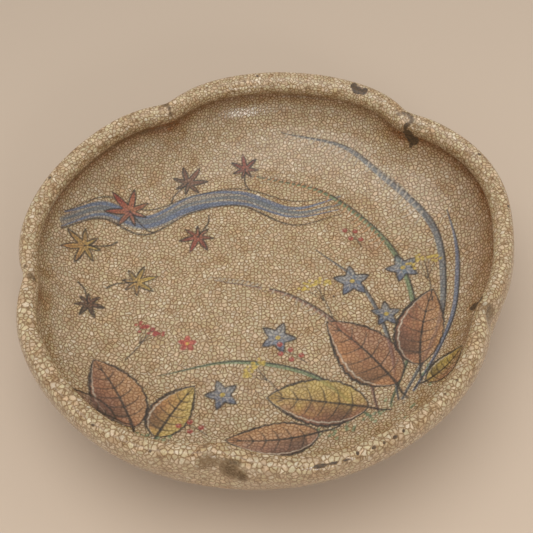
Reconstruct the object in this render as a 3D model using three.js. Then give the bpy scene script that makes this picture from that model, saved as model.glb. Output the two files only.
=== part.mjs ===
// Scalloped dish: a stoneware body with a curled-in rim pinched into five lobes, on a foot ring.
// Millimetres, +Z up. The origin is under the middle of the dish, at the level that it stands on.
import * as THREE from "three";

// Driving dimensions of the body
const BELLY_RADIUS = 120;
const BELLY_HEIGHT = 44;
const RIM_HEIGHT = 54;
const WALL_THICKNESS = 6.5;
const FLOOR_THICKNESS = 7;
const FLOOR_SINK = 0.8;
const FLOOR_RADIUS = 60;

// Driving dimensions of the curled rim
const RIDGE_INSET = 3.8;
const LIP_INSET = 11;
const LIP_HEIGHT = 6;
const CURL_DEPTH = 12;
const RIM_LEAN = 2;
const RIM_LEAN_TOWARDS = -75;

// Driving dimensions of the foot ring
const FOOT_RADIUS = 55;
const FOOT_WIDTH = 8;
const FOOT_HEIGHT = 7;
const FOOT_TAPER = 1.5;
const FOOT_EDGE = 1;

// The body is pulled a little oval along one diagonal
const OVAL_STRETCH = 3.6;
const OVAL_TOWARDS = 44.6;

// Five thumb-pressed notches, counter-clockwise from above: how far each one strays from even
// spacing in degrees, how deep it is at the belly, at the ridge of the rim and at the lip, and how
// wide it is to each side
const FIRST_NOTCH = -24.3;
const NOTCHES = [
  { stray: 3.3, belly: 6, ridge: 8.3, lip: 6.2, halfWidth: 32 },
  { stray: 1.6, belly: 5, ridge: 5.2, lip: 6, halfWidth: 15.5 },
  { stray: 0.8, belly: 5, ridge: 5.7, lip: 6, halfWidth: 19.5 },
  { stray: -0.6, belly: 6.2, ridge: 4.2, lip: 3.2, halfWidth: 19 },
  { stray: -3.6, belly: 5.8, ridge: 8, lip: 8, halfWidth: 24.5 },
];
const NOTCH_SHARPNESS = 1.6;
const NOTCH_FADE_HEIGHT = 26;
const NOTCH_FOLD = 1.5;

// The lobe that follows each notch: how far it swells out, how much more it does so in its first
// half than in its second, and how much further its lip reaches in
const LOBES = [
  { swell: 3, lead: -2.8, reach: 0 },
  { swell: 0.8, lead: 0, reach: 1.8 },
  { swell: 1.6, lead: -0.8, reach: 0 },
  { swell: -0.8, lead: 0, reach: 0 },
  { swell: -0.4, lead: 0, reach: -0.8 },
];

// The thumb's own dent in the outside of each notch
const THUMB_DEPTH = 2.2;
const THUMB_HALF_WIDTH = 6.5;
const THUMB_HALF_HEIGHT = 7;
const THUMB_HEIGHT = 45;

// Fineness of the facets
const STEPS_PER_LOBE = 20;
const NOTCH_CROWDING = 0.6;
const WALL_STEPS = 9;
const CURL_STEPS = 4;
const FLOOR_STEPS = 3;
const FOOT_STEPS = 80;

const FLOOR_TOP = FOOT_HEIGHT + FLOOR_THICKNESS;
const notchAngles = NOTCHES.map(
  (notch, index) => THREE.MathUtils.degToRad(FIRST_NOTCH + (360 / NOTCHES.length) * index + notch.stray)
);
const lobeEnd = (index) =>
  index === notchAngles.length - 1 ? notchAngles[0] + 2 * Math.PI : notchAngles[index + 1];

// The section is a row of stations from the middle of the underside, round the rim, to the middle
// of the floor. Each one has a radius, a height and the stretch of the section that it lies on.
function section() {
  const stations = [];
  const add = (stretch, curve, steps) => {
    const points = curve.getPoints(steps);
    const fresh = stations.length ? points.slice(1) : points;
    fresh.forEach((point) => stations.push({ r: point.x, z: point.y, stretch }));
  };
  const at = (inset, height) => new THREE.Vector2(BELLY_RADIUS - inset, height);
  const quarter = (across, down, from, to, clockwise) =>
    new THREE.EllipseCurve(FLOOR_RADIUS, BELLY_HEIGHT, across, down, from, to, clockwise);

  const curlFoot = RIM_HEIGHT - CURL_DEPTH;
  const lipHeight = RIM_HEIGHT - LIP_HEIGHT;
  const across = BELLY_RADIUS - FLOOR_RADIUS;
  const innerAcross = across - WALL_THICKNESS;
  const innerDown = BELLY_HEIGHT - FLOOR_TOP;
  const curlAngle = -Math.asin((BELLY_HEIGHT - curlFoot) / innerDown);
  const curlEnd = new THREE.Vector2(FLOOR_RADIUS + innerAcross * Math.cos(curlAngle), curlFoot);
  const lipReach = LIP_INSET - RIDGE_INSET;

  add("under", new THREE.LineCurve(new THREE.Vector2(0, FOOT_HEIGHT), new THREE.Vector2(FLOOR_RADIUS, FOOT_HEIGHT)), 1);
  add("outside", quarter(across, BELLY_HEIGHT - FOOT_HEIGHT, -Math.PI / 2, 0, false), WALL_STEPS);
  add(
    "outside",
    new THREE.CubicBezierCurve(
      at(0, BELLY_HEIGHT),
      at(0, BELLY_HEIGHT + (RIM_HEIGHT - BELLY_HEIGHT) * 0.5),
      at(RIDGE_INSET * 0.45, RIM_HEIGHT - 1),
      at(RIDGE_INSET, RIM_HEIGHT)
    ),
    CURL_STEPS
  );
  add(
    "curl",
    new THREE.CubicBezierCurve(
      at(RIDGE_INSET, RIM_HEIGHT),
      at(RIDGE_INSET + lipReach * 0.5, RIM_HEIGHT),
      at(LIP_INSET, RIM_HEIGHT - LIP_HEIGHT * 0.3),
      at(LIP_INSET, lipHeight)
    ),
    CURL_STEPS
  );
  add(
    "curl",
    new THREE.CubicBezierCurve(
      at(LIP_INSET, lipHeight),
      at(LIP_INSET, lipHeight - (lipHeight - curlFoot) * 0.7),
      at((LIP_INSET + WALL_THICKNESS) * 0.5, curlFoot),
      curlEnd
    ),
    CURL_STEPS
  );
  add("inside", quarter(innerAcross, innerDown, curlAngle, -Math.PI / 2, true), WALL_STEPS);
  add(
    "floor",
    new THREE.QuadraticBezierCurve(
      new THREE.Vector2(FLOOR_RADIUS, FLOOR_TOP),
      new THREE.Vector2(FLOOR_RADIUS / 2, FLOOR_TOP - FLOOR_SINK),
      new THREE.Vector2(0, FLOOR_TOP - FLOOR_SINK)
    ),
    FLOOR_STEPS
  );
  return stations;
}

// How far along the curl a station lies: 0 at the ridge, 1 at the lip
function curlShare(station) {
  return THREE.MathUtils.clamp((BELLY_RADIUS - station.r - RIDGE_INSET) / (LIP_INSET - RIDGE_INSET), 0, 1);
}

function isUnderLip(station) {
  return station.z < RIM_HEIGHT - LIP_HEIGHT;
}

// What the inside shares with the foot of the curl above it, less and less towards the floor
function insideShare(station) {
  return THREE.MathUtils.smoothstep(station.z, FLOOR_TOP, RIM_HEIGHT - CURL_DEPTH);
}

// How deep a notch is at a station: it fades out down the outside, deepens from the ridge to the
// lip, and runs down the inside as a low fold that dies out before the floor
function notchDepth(notch, station) {
  const { smoothstep, lerp } = THREE.MathUtils;
  if (station.stretch === "outside") {
    const belly = notch.belly * smoothstep(station.z, NOTCH_FADE_HEIGHT, BELLY_HEIGHT);
    return lerp(belly, notch.ridge, smoothstep(station.z, BELLY_HEIGHT, RIM_HEIGHT));
  }
  if (station.stretch === "curl") {
    const share = curlShare(station);
    return isUnderLip(station) ? notch.lip + NOTCH_FOLD * (1 - share) : lerp(notch.ridge, notch.lip, share);
  }
  return station.stretch === "inside" ? (notch.lip + NOTCH_FOLD) * insideShare(station) : 0;
}

// How much of a lobe's reach a station takes
function reachShare(station) {
  if (station.stretch === "curl") return isUnderLip(station) ? 1 : curlShare(station);
  return station.stretch === "inside" ? insideShare(station) : 0;
}

// The dent of the thumb, on the outside only
function thumbDepth(station, along) {
  if (station.stretch !== "outside") return 0;
  const up = (station.z - THUMB_HEIGHT) / THUMB_HALF_HEIGHT;
  const across = along / THUMB_HALF_WIDTH;
  return THUMB_DEPTH * Math.exp(-up * up - across * across);
}

// The radius of a station at an angle round the dish
function warpedRadius(station, angle) {
  const { smoothstep, degToRad, euclideanModulo } = THREE.MathUtils;
  const loose = smoothstep(station.r, FLOOR_RADIUS, BELLY_RADIUS - LIP_INSET);
  const high = smoothstep(station.z, BELLY_HEIGHT - CURL_DEPTH, RIM_HEIGHT);
  let radius = station.r;
  radius += OVAL_STRETCH * loose * Math.cos(2 * (angle - degToRad(OVAL_TOWARDS)));
  radius += RIM_LEAN * loose * high * Math.cos(angle - degToRad(RIM_LEAN_TOWARDS));
  NOTCHES.forEach((notch, index) => {
    const away = euclideanModulo(angle - notchAngles[index] + Math.PI, 2 * Math.PI) - Math.PI;
    const along = Math.abs(away) * BELLY_RADIUS;
    const press = Math.exp(-Math.pow(along / notch.halfWidth, NOTCH_SHARPNESS));
    radius -= notchDepth(notch, station) * press + thumbDepth(station, along);
  });
  LOBES.forEach((lobe, index) => {
    const span = lobeEnd(index) - notchAngles[index];
    const share = Math.min(euclideanModulo(angle - notchAngles[index], 2 * Math.PI) / span, 1);
    const swell = lobe.swell + lobe.lead * Math.sin(2 * Math.PI * share);
    radius += Math.sin(Math.PI * share) ** 2 * (loose * swell - lobe.reach * reachShare(station));
  });
  return radius;
}

// Angles round the dish, closer together near the notches
function angles() {
  const list = [];
  notchAngles.forEach((from, index) => {
    const to = lobeEnd(index);
    for (let step = 0; step < STEPS_PER_LOBE; step += 1) {
      const share = step / STEPS_PER_LOBE;
      const crowded = share - (NOTCH_CROWDING * Math.sin(2 * Math.PI * share)) / (2 * Math.PI);
      list.push(from + (to - from) * crowded);
    }
  });
  return list;
}

// The closed skin of the body: rings of points at each station, with one point at each pole
function bodyGeometry() {
  const stations = section();
  const around = angles();
  const rings = stations.slice(1, -1);
  const first = stations[0];
  const final = stations[stations.length - 1];
  const positions = [0, 0, first.z];
  rings.forEach((station) => {
    around.forEach((angle) => {
      const radius = warpedRadius(station, angle);
      positions.push(radius * Math.cos(angle), radius * Math.sin(angle), station.z);
    });
  });
  positions.push(0, 0, final.z);

  const count = around.length;
  const top = 1 + rings.length * count;
  const faces = [];
  for (let step = 0; step < count; step += 1) {
    const next = (step + 1) % count;
    faces.push(0, 1 + next, 1 + step);
    for (let ring = 0; ring < rings.length - 1; ring += 1) {
      const low = 1 + ring * count;
      const high = low + count;
      faces.push(low + step, low + next, high + next);
      faces.push(low + step, high + next, high + step);
    }
    faces.push(top - count + step, top - count + next, top);
  }
  const geometry = new THREE.BufferGeometry();
  geometry.setAttribute("position", new THREE.Float32BufferAttribute(positions, 3));
  geometry.setIndex(faces);
  geometry.computeVertexNormals();
  return geometry;
}

// The foot ring tapers towards the table and its two standing edges are eased
function footGeometry() {
  const outerTop = FOOT_RADIUS;
  const outerBottom = FOOT_RADIUS - FOOT_TAPER;
  const innerBottom = outerBottom - FOOT_WIDTH + FOOT_TAPER;
  const innerTop = innerBottom - FOOT_TAPER / 2;
  const profile = [
    [innerTop, FOOT_HEIGHT],
    [innerBottom, FOOT_EDGE],
    [innerBottom + FOOT_EDGE, 0],
    [outerBottom - FOOT_EDGE, 0],
    [outerBottom, FOOT_EDGE],
    [outerTop, FOOT_HEIGHT],
    [innerTop, FOOT_HEIGHT],
  ].map(([radius, height]) => new THREE.Vector2(radius, height));
  const geometry = new THREE.LatheGeometry(profile, FOOT_STEPS);
  geometry.rotateX(Math.PI / 2);
  return geometry;
}

const glaze = new THREE.MeshStandardMaterial({ color: 0xb8a283, roughness: 0.25, metalness: 0 });
const clay = new THREE.MeshStandardMaterial({ color: 0x9a7a58, roughness: 0.85, metalness: 0 });

const body = new THREE.Mesh(bodyGeometry(), glaze);
body.name = "dish_body";
const foot = new THREE.Mesh(footGeometry(), clay);
foot.name = "foot_ring";

// The hand-pressed outline isn't quite even, so the dish is moved to stand centred on the origin
const dish = new THREE.Group();
dish.add(body, foot);
const middle = new THREE.Box3().setFromObject(body).getCenter(new THREE.Vector3());
dish.position.set(-middle.x, -middle.y, 0);

export default dish;
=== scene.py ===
import math

import bpy
import numpy as np
from mathutils import Matrix, Vector


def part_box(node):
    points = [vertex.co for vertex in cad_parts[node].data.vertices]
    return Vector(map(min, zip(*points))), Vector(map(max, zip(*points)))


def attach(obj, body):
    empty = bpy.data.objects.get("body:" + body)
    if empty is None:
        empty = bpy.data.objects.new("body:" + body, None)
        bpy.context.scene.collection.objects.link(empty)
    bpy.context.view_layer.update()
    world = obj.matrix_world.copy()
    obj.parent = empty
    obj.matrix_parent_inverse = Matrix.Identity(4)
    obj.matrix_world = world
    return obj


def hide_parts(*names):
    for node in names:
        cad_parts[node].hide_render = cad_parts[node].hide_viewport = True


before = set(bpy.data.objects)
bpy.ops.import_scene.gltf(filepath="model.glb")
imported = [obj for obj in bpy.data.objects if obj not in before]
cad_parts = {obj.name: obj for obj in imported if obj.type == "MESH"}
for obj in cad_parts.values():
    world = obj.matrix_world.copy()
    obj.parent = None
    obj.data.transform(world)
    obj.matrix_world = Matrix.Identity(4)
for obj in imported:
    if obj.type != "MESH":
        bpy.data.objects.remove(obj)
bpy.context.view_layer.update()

MM = 0.001
TURN = 2 * math.pi
foot_low, foot_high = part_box("foot_ring")
# The dish's axis, in mm, is the middle of its foot ring
AXIS_X = (foot_low[0] + foot_high[0]) / 2 / MM
AXIS_Y = (foot_low[1] + foot_high[1]) / 2 / MM

# Sizes of the body in mm, as in the CAD part
BELLY_RADIUS = 120
BELLY_HEIGHT = 44
RIM_HEIGHT = 54
WALL_THICKNESS = 6.5
FLOOR_THICKNESS = 7
FLOOR_SINK = 0.8
FLOOR_RADIUS = 60
RIDGE_INSET = 3.8
LIP_INSET = 11
LIP_HEIGHT = 6
CURL_DEPTH = 12
RIM_LEAN = 2
RIM_LEAN_TOWARDS = math.radians(-75)
OVAL_STRETCH = 3.6
OVAL_TOWARDS = math.radians(44.6)
FOOT_RADIUS = 55
FOOT_WIDTH = 8
FOOT_HEIGHT = 7
FOOT_TAPER = 1.5
FLOOR_TOP = FOOT_HEIGHT + FLOOR_THICKNESS
CURL_FOOT = RIM_HEIGHT - CURL_DEPTH
LIP_LEVEL = RIM_HEIGHT - LIP_HEIGHT

# The five notches, counter-clockwise from above: stray from even spacing in degrees, depth at the
# belly, at the ridge and at the lip, and width to each side
FIRST_NOTCH = -24.3
NOTCHES = (
    (3.3, 6, 8.3, 6.2, 32),
    (1.6, 5, 5.2, 6, 15.5),
    (0.8, 5, 5.7, 6, 19.5),
    (-0.6, 6.2, 4.2, 3.2, 19),
    (-3.6, 5.8, 8, 8, 24.5),
)
NOTCH_ANGLES = [
    math.radians(FIRST_NOTCH + 360 / len(NOTCHES) * i + notch[0]) for i, notch in enumerate(NOTCHES)
]
NOTCH_SHARPNESS = 1.6
NOTCH_FADE_HEIGHT = 26
NOTCH_FOLD = 1.5
# The lobe that follows each notch: its swell, how much more of it lies in the first half, and how
# much further its lip reaches in
LOBES = ((3, -2.8, 0), (0.8, 0, 1.8), (1.6, -0.8, 0), (-0.8, 0, 0), (-0.4, 0, -0.8))
THUMB_DEPTH = 2.2
THUMB_HALF_WIDTH = 6.5
THUMB_HALF_HEIGHT = 7
THUMB_HEIGHT = 45

# Stretches of the section
UNDER, OUTSIDE, CURL, INSIDE, FLOOR = range(5)


def smoothstep(x, low, high):
    t = np.clip((x - low) / (high - low), 0, 1)
    return t * t * (3 - 2 * t)


def bezier(points, steps):
    """Points along a quadratic or cubic Bezier curve."""
    t = np.linspace(0, 1, steps + 1)[:, None]
    p = [np.array(point, float) for point in points]
    while len(p) > 1:
        p = [(1 - t) * a + t * b for a, b in zip(p[:-1], p[1:])]
    return p[0]


def quarter(across, down, start, end, steps):
    """Points along an ellipse about the edge of the floor, at belly height."""
    t = np.linspace(start, end, steps + 1)
    return np.stack([FLOOR_RADIUS + across * np.cos(t), BELLY_HEIGHT + down * np.sin(t)], 1)


def section():
    """The body's section, from the middle of the underside round the rim to the middle of the
    floor: radius, height and stretch of each station."""
    across = BELLY_RADIUS - FLOOR_RADIUS
    inner_across = across - WALL_THICKNESS
    inner_down = BELLY_HEIGHT - FLOOR_TOP
    curl_angle = -math.asin((BELLY_HEIGHT - CURL_FOOT) / inner_down)
    curl_end = (FLOOR_RADIUS + inner_across * math.cos(curl_angle), CURL_FOOT)
    lip_reach = LIP_INSET - RIDGE_INSET
    sunk = FLOOR_TOP - FLOOR_SINK

    def at(inset, height):
        return (BELLY_RADIUS - inset, height)

    outer_rim = [
        at(0, BELLY_HEIGHT),
        at(0, BELLY_HEIGHT + (RIM_HEIGHT - BELLY_HEIGHT) * 0.5),
        at(RIDGE_INSET * 0.45, RIM_HEIGHT - 1),
        at(RIDGE_INSET, RIM_HEIGHT),
    ]
    lip = [
        at(RIDGE_INSET, RIM_HEIGHT),
        at(RIDGE_INSET + lip_reach * 0.5, RIM_HEIGHT),
        at(LIP_INSET, RIM_HEIGHT - LIP_HEIGHT * 0.3),
        at(LIP_INSET, LIP_LEVEL),
    ]
    undercut = [
        at(LIP_INSET, LIP_LEVEL),
        at(LIP_INSET, LIP_LEVEL - (LIP_LEVEL - CURL_FOOT) * 0.7),
        at((LIP_INSET + WALL_THICKNESS) * 0.5, CURL_FOOT),
        curl_end,
    ]
    parts = (
        (UNDER, bezier([(0, FOOT_HEIGHT), (FLOOR_RADIUS, FOOT_HEIGHT)], 30)),
        (OUTSIDE, quarter(across, BELLY_HEIGHT - FOOT_HEIGHT, -math.pi / 2, 0, 60)),
        (OUTSIDE, bezier(outer_rim, 20)),
        (CURL, bezier(lip, 20)),
        (CURL, bezier(undercut, 16)),
        (INSIDE, quarter(inner_across, inner_down, curl_angle, -math.pi / 2, 70)),
        (FLOOR, bezier([(FLOOR_RADIUS, FLOOR_TOP), (FLOOR_RADIUS / 2, sunk), (0, sunk)], 50)),
    )
    points = [parts[0][1]] + [part[1:] for _, part in parts[1:]]
    stretch = np.concatenate([np.full(len(p), kind) for (kind, _), p in zip(parts, points)])
    points = np.concatenate(points)
    return points[:, 0], points[:, 1], stretch


def notch_depth(notch, r, z, stretch):
    """How deep a notch is at each station, as in the CAD part."""
    _, belly, ridge, lip, _ = notch
    low = belly * smoothstep(z, NOTCH_FADE_HEIGHT, BELLY_HEIGHT)
    outside = low + (ridge - low) * smoothstep(z, BELLY_HEIGHT, RIM_HEIGHT)
    share = curl_share(r)
    curl = np.where(z < LIP_LEVEL, lip + NOTCH_FOLD * (1 - share), ridge + (lip - ridge) * share)
    inside = (lip + NOTCH_FOLD) * smoothstep(z, FLOOR_TOP, CURL_FOOT)
    return np.select([stretch == OUTSIDE, stretch == CURL, stretch == INSIDE], [outside, curl, inside], 0)


def curl_share(r):
    return np.clip((BELLY_RADIUS - r - RIDGE_INSET) / (LIP_INSET - RIDGE_INSET), 0, 1)


def reach_share(r, z, stretch):
    curl = np.where(z < LIP_LEVEL, 1, curl_share(r))
    return np.select([stretch == CURL, stretch == INSIDE], [curl, smoothstep(z, FLOOR_TOP, CURL_FOOT)], 0)


def warped_radius(r, z, stretch, angle):
    """The radius of stations at angles round the dish, as in the CAD part."""
    loose = smoothstep(r, FLOOR_RADIUS, BELLY_RADIUS - LIP_INSET)
    high = smoothstep(z, BELLY_HEIGHT - CURL_DEPTH, RIM_HEIGHT)
    radius = r + OVAL_STRETCH * loose * np.cos(2 * (angle - OVAL_TOWARDS))
    radius = radius + RIM_LEAN * loose * high * np.cos(angle - RIM_LEAN_TOWARDS)
    ends = NOTCH_ANGLES[1:] + [NOTCH_ANGLES[0] + TURN]
    for notch, lobe, start, end in zip(NOTCHES, LOBES, NOTCH_ANGLES, ends):
        along = np.abs(turned(angle - start)) * BELLY_RADIUS
        press = np.exp(-((along / notch[4]) ** NOTCH_SHARPNESS))
        radius = radius - notch_depth(notch, r, z, stretch) * press
        thumb = ((z - THUMB_HEIGHT) / THUMB_HALF_HEIGHT) ** 2 + (along / THUMB_HALF_WIDTH) ** 2
        radius = radius - np.where(stretch == OUTSIDE, THUMB_DEPTH * np.exp(-thumb), 0)
        swell, lead, reach = lobe
        share = np.minimum((angle - start) % TURN / (end - start), 1)
        swell = loose * (swell + lead * np.sin(TURN * share)) - reach * reach_share(r, z, stretch)
        radius = radius + np.sin(math.pi * share) ** 2 * swell
    return radius


def turned(angle):
    """An angle brought between minus and plus half a turn."""
    return (angle + math.pi) % TURN - math.pi


# Fine surface of the body, all pressed inwards so that it stays inside the CAD part's box
BODY_STEPS = 1260
SOFTENING = 0.9
RIPPLE_LENGTH = 6.5
RIPPLE_DEPTH = 0.09
# Slow waves in the surface: how many round the dish, and how they lean along the section
SWAYS = ((3, 1), (5, -1), (8, 2))
SWAY_LEAN = 0.045
SWAY_DEPTH = 0.22
RIM_DROP = 0.5
GROOVE_RADIUS, GROOVE_WIDTH, GROOVE_DEPTH = 31, 1.6, 0.16
# The fold under the rim fills with glaze, which stands as a low roll along the far side
ROLL_LEVEL, ROLL_WIDTH, ROLL_DEPTH = 38.5, 1.1, 0.5
ROLL_TOWARDS, ROLL_REACH = math.radians(80), 30
# Small dents: angle round the dish in degrees, radius and height in mm, half size along and across
# the rim, and depth
DENTS = (
    (-60, 114.7, 53.9, 0.9, 0.7, 0.5),
    (-62.2, 115.1, 53.9, 1.3, 0.7, 0.6),
    (-64.8, 115.3, 53.9, 0.9, 0.6, 0.5),
    (-67.2, 115.6, 53.9, 1.2, 0.6, 0.5),
    (-70.8, 115.5, 54, 1.1, 0.6, 0.6),
    (-74, 116.3, 53.3, 3.2, 0.8, 0.6),
    (-78, 116.4, 53.2, 4.5, 0.8, 0.7),
    (-99.5, 112, 53, 3.6, 1.3, 0.8),
    (-95.5, 113, 52.8, 3.6, 1.3, 0.9),
    (-91.5, 114.8, 52.4, 4, 1.2, 0.7),
    (-97.5, 115.6, 48.5, 7.5, 6, 1.1),
    (92.8, 112.4, 53.8, 0.8, 0.8, 0.4),
    (27.2, 121.5, 53.5, 1, 0.8, 0.4),
    (64.6, 115.2, 53.8, 3.4, 1.7, 1.1),
    (62.9, 115.4, 53.7, 1.4, 1.4, 0.5),
    (48.2, 109.6, 53.2, 3, 2, 0.7),
    (-21, 110.5, 50.5, 6, 4.5, 1.8),
)


def softened(points, distance):
    """Points with the joins along the section rounded off, as a thick glaze does."""
    gap = distance[:, None] - distance[None, :]
    share = np.exp(-gap * gap / (2 * SOFTENING * SOFTENING)) * np.gradient(distance)[None, :]
    share /= share.sum(1, keepdims=True)
    return np.einsum("ij,jkl->ikl", share, points)


def grid_normals(points):
    """Outward normals of a grid of rings of points, with steps running round."""
    round_way = np.roll(points, -1, 1) - np.roll(points, 1, 1)
    along_way = np.gradient(points, axis=0)
    normal = np.cross(round_way, along_way)
    return normal / np.maximum(np.linalg.norm(normal, axis=2, keepdims=True), 1e-9)


def near(angle, radius, height, at, half_along, half_across):
    """A round hump of 1 at a place on the body, fading out over the half sizes given."""
    at_angle, at_radius, at_height = math.radians(at[0]), at[1], at[2]
    along = turned(angle - at_angle) * radius / half_along
    across = ((radius - at_radius) ** 2 + (height - at_height) ** 2) / half_across**2
    return np.exp(-along * along - across)


def body_grid():
    """Points of the body's fine surface, in mm about its axis, and what its maps need."""
    r, z, stretch = (values[1:-1] for values in section())
    distance = np.cumsum(np.hypot(np.diff(r, prepend=0), np.diff(z, prepend=z[0])))
    angle = np.arange(BODY_STEPS) * TURN / BODY_STEPS
    around = angle[None, :]
    flat, level = r[:, None], z[:, None]
    radius = warped_radius(flat, level, stretch[:, None], around)
    height = np.broadcast_to(level, radius.shape)
    points = np.stack([radius * np.cos(around), radius * np.sin(around), height], 2)
    points = softened(points, distance)

    away = (distance[-1] + r[-1] - distance)[:, None]
    ripple = 0.5 + 0.5 * np.sin(TURN * away / RIPPLE_LENGTH + around)
    ripple = RIPPLE_DEPTH * ripple * smoothstep(flat, 6, 20)
    sway = sum(
        np.sin(waves * around + SWAY_LEAN * lean * distance[:, None] + waves * waves) / len(SWAYS)
        for waves, lean in SWAYS
    )
    press = ripple + SWAY_DEPTH * (1 + sway) / 2 * smoothstep(flat, 30, 70)
    press = press + GROOVE_DEPTH * np.exp(-(((away - GROOVE_RADIUS) / GROOVE_WIDTH) ** 2))
    true_radius = np.hypot(points[..., 0], points[..., 1])
    for *place, half_along, half_across, depth in DENTS:
        press = press + depth * near(around, true_radius, points[..., 2], place, half_along, half_across)
    roll = np.exp(-(((level - ROLL_LEVEL) / ROLL_WIDTH) ** 2)) * (stretch[:, None] == INSIDE)
    roll = roll * np.exp(-((turned(around - ROLL_TOWARDS) * BELLY_RADIUS / ROLL_REACH) ** 2))
    press = press - ROLL_DEPTH * roll
    # The standing places of the underside stay flat
    press = press * smoothstep(level, FOOT_HEIGHT, FOOT_HEIGHT + 3)
    points = points - grid_normals(points) * press[..., None]

    wave = (0.5 + 0.25 * np.sin(4 * around + 1.1) + 0.25 * np.sin(7 * around + 0.4))[0]
    high = smoothstep(z, BELLY_HEIGHT, RIM_HEIGHT)
    points[..., 2] -= RIM_DROP * wave[None, :] * high[:, None]
    return r, z, stretch, distance, angle, points


# Flat maps of the glaze, in mm, on which its patches and the inner crackle are drawn: one of the
# floor and the inner wall, one of the underside, the outer wall and the rim. A second pair, packed in
# a square, is for baking.
CRACKLE_GAIN_INSIDE = 1.03
CRACKLE_SCALE_OUTSIDE = 0.94
BAKE_SCALE_INSIDE = 1.1
BAKE_SCALE_OUTSIDE = 0.8
BAKE_MARGIN = 1.01
CRACKLE_TOWARDS = np.exp(1j * math.radians(-135))
CRACKLE_DRIFT = 0.0001
OUTSIDE_MAP_SHIFT = 1000


def chart_radii(distance, r, gain):
    """Radii, on a flat map, of stations at a distance from its middle: the map keeps the
    crackle's shape, with its size growing by the gain."""
    flat = distance <= FLOOR_RADIUS + 0.1
    growth = np.where(flat[1:], 0, gain * 2 * np.diff(distance) / (r[1:] + r[:-1]))
    return np.where(flat, distance, FLOOR_RADIUS * np.exp(np.cumsum(np.concatenate([[0], growth]))))


def crackle_map(radius, angle, shift):
    """Places on a flat map, bent a little so that the crackle isn't quite even across the dish."""
    flat = radius * np.exp(1j * angle)
    flat = flat + CRACKLE_DRIFT * CRACKLE_TOWARDS * flat * flat
    return np.stack([flat.real + shift, flat.imag], -1)


R, Z, STRETCH, DISTANCE, ANGLE, BODY = body_grid()
CREASE = int(np.argmax(STRETCH == INSIDE))
FROM_MIDDLE = DISTANCE[-1] + R[-1] - DISTANCE
INNER_DISTANCE = FROM_MIDDLE[CREASE:][::-1]
INNER_CHART = chart_radii(INNER_DISTANCE, R[CREASE:][::-1], CRACKLE_GAIN_INSIDE)
OUTER_DISTANCE = DISTANCE[: CREASE + 1]
OUTER_CHART = chart_radii(OUTER_DISTANCE, R[: CREASE + 1], 1) * CRACKLE_SCALE_OUTSIDE


def new_object(name, mesh):
    obj = bpy.data.objects.new(name, mesh)
    bpy.context.scene.collection.objects.link(obj)
    return obj


def new_mesh(name, points, faces):
    """A smooth mesh of points in mm about the dish's axis."""
    mesh = bpy.data.meshes.new(name)
    mesh.from_pydata(((points + np.array([AXIS_X, AXIS_Y, 0])) * MM).tolist(), [], faces)
    mesh.shade_smooth()
    return mesh


def add_uv(mesh, name, values):
    layer = mesh.uv_layers.new(name=name)
    layer.uv.foreach_set("vector", np.ascontiguousarray(values, dtype=np.float32).ravel())


def add_value(mesh, name, values):
    layer = mesh.attributes.new(name, "FLOAT", "POINT")
    layer.data.foreach_set("value", np.ascontiguousarray(values, dtype=np.float32).ravel())


# Marks on the glaze: angle in degrees, radius and height in mm, half sizes along and across the
# section, strength. Iron-brown specks and patches where the clay shows through:
IRON = (
    (-17.6, 102.6, 49, 2.6, 2.6, 1.1),
    (-12, 103, 30, 2.6, 3.6, 1.1),
    (46.2, 109, 43.2, 3.2, 5.4, 1.5),
    (45.2, 111, 39, 3.3, 3, 1.3),
    (45.3, 110.5, 35.6, 1.1, 2.6, 0.9),
    (47, 107, 49.4, 1.2, 2.6, 1.1),
    (66.1, 115.4, 53.4, 1.6, 2.2, 1.6),
    (64.6, 114, 53, 3, 2.4, 1.7),
    (62.9, 114.2, 53.2, 1.9, 2.4, 1.6),
    (92.8, 112.4, 53.8, 0.9, 0.9, 1),
    (27.2, 121.5, 53.6, 1.1, 0.9, 1),
    (10.5, 120.6, 53, 1.1, 0.9, 1),
    (160.8, 114.4, 54, 1, 0.9, 1),
    (-42.5, 110.7, 53.8, 0.9, 0.8, 0.85),
    (-47, 111.4, 53.8, 0.8, 0.8, 0.75),
    (-60, 114.7, 53.8, 0.8, 0.8, 1),
    (-62.3, 115.1, 53.8, 1.2, 0.8, 1.1),
    (-64.9, 115.3, 53.8, 0.8, 0.8, 0.9),
    (-67.3, 115.6, 53.8, 1.2, 0.8, 1),
    (-70.9, 114.9, 53.3, 0.8, 1.1, 0.95),
    (-73.4, 116.3, 52.9, 2, 0.7, 0.8),
    (-76.2, 116.2, 52.8, 2.4, 0.75, 0.95),
    (-78.9, 116.3, 52.7, 3.4, 0.9, 1.25),
    (-126, 120.2, 53.9, 0.9, 0.8, 0.9),
    (-113, 118.1, 53.8, 0.9, 0.8, 0.85),
    (-8.8, 35, 13.5, 0.8, 0.7, 1),
    (-46.2, 71.4, 14.8, 0.8, 0.7, 0.8),
    (35, 112, 22, 2.6, 3, 0.9),
    (152, 108, 20, 3.5, 2.6, 0.8),
    (-140, 116, 30, 1.4, 1.2, 0.9),
    (-52, 117, 34, 1.6, 1.3, 0.9),
    (100, 117, 36, 1.3, 1.6, 0.9),
    (0, 104, 16, 3, 2.4, 0.7),
)
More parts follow.
